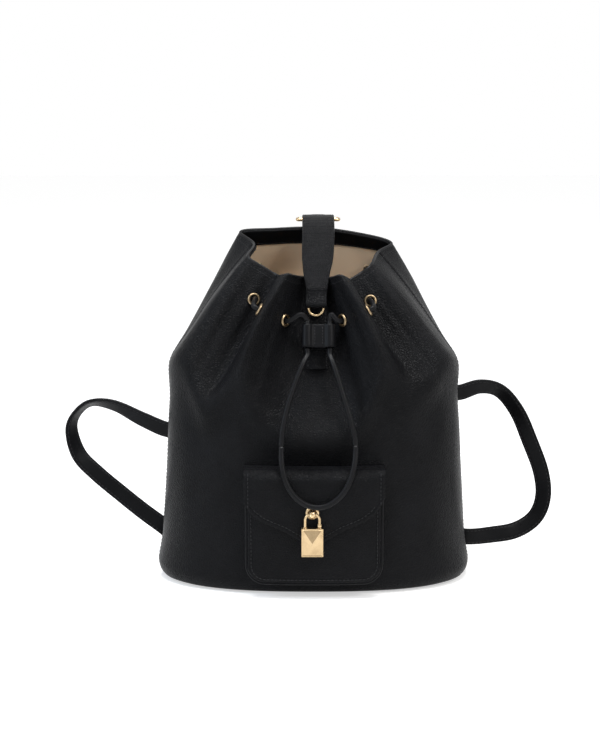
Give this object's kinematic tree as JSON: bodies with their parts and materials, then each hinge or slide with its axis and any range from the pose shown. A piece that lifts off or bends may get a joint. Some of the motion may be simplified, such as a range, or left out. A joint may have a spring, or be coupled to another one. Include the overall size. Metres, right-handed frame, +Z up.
{
  "type": "leather backpack",
  "caption": "Bucket-shaped leather backpack with a gathered drawcord mouth, a closure strap, a flap pocket with a padlock and two shoulder straps.",
  "frame": {"origin": "centre of the base's underside, on the surface the bag stands on", "axes": "+Z up, -Y out of the front with the pocket, +X to the right seen from the front"},
  "size_m": [0.4288, 0.1851, 0.2972],
  "materials": {
    "shell_leather": "pebbled, satin",
    "cord_leather": "smooth, satin",
    "lining_cloth": "fine weave",
    "board": "matte fibre board",
    "gold_metal": "polished"
  },
  "bodies": {
    "bag": {"front_panel": "shell_leather", "back_panel": "shell_leather", "base_panel": "shell_leather", "base_board": "board", "lining": "lining_cloth", "top_facing": "shell_leather", "slip_pocket": "lining_cloth", "front_eyelets": "gold_metal", "back_eyelets": "gold_metal", "drawcord": "cord_leather", "front_tab": "shell_leather", "tab_magnet": "gold_metal", "top_ring": "gold_metal", "ring_tab": "shell_leather", "strap_patch": "shell_leather", "shoulder_strap_left": "shell_leather", "shoulder_strap_right": "shell_leather", "lower_tab_left": "shell_leather", "lower_tab_right": "shell_leather", "lower_ring_left": "gold_metal", "lower_ring_right": "gold_metal", "pocket_front": "shell_leather", "pocket_gusset": "shell_leather", "flap_root": "shell_leather", "pocket_magnet": "gold_metal", "drawcord_loop": "cord_leather"},
    "flap": {"pocket_flap": "shell_leather", "flap_magnet": "gold_metal", "flap_grommet": "gold_metal", "padlock_staple": "gold_metal"},
    "shackle": {"padlock_shackle": "gold_metal"},
    "lock": {"padlock_body": "gold_metal", "padlock_pin": "gold_metal"},
    "closure": {"closure_strap": "shell_leather", "strap_magnet": "gold_metal"},
    "pull": {"pull_ring": "gold_metal"},
    "keeper": {"cord_slider": "cord_leather"}
  },
  "joints": [
    {"name": "flap_lift", "type": "hinge", "parent": "bag", "child": "flap", "pos_m": [0, -0.07861, 0.1061], "axis": [-1, 0, 0], "range_deg": [0, 115], "deforming": ["drawcord_loop"]},
    {"name": "padlock_swing", "type": "hinge", "parent": "flap", "child": "shackle", "pos_m": [-0.0016, -0.09811, 0.0729], "axis": [-1, 0, 0], "range_deg": [0, 65]},
    {"name": "shackle_open", "type": "hinge", "parent": "shackle", "child": "lock", "pos_m": [0.00405, -0.09811, 0.064], "axis": [0, -1, 0], "range_deg": [0, 70]},
    {"name": "closure_lift", "type": "hinge", "parent": "bag", "child": "closure", "pos_m": [0.004, 0.045, 0.293], "axis": [-1, 0, 0], "range_deg": [0, 100]},
    {"name": "pull_swing", "type": "hinge", "parent": "closure", "child": "pull", "pos_m": [0.0016, -0.03945, 0.23187], "axis": [-1, 0, 0], "range_deg": [0, 120]},
    {"name": "keeper_slide", "type": "slide", "parent": "bag", "child": "keeper", "axis": [0, -0.3833, -0.9236], "range_m": [0, 0.05], "deforming": ["drawcord_loop", "drawcord"]}
  ]
}
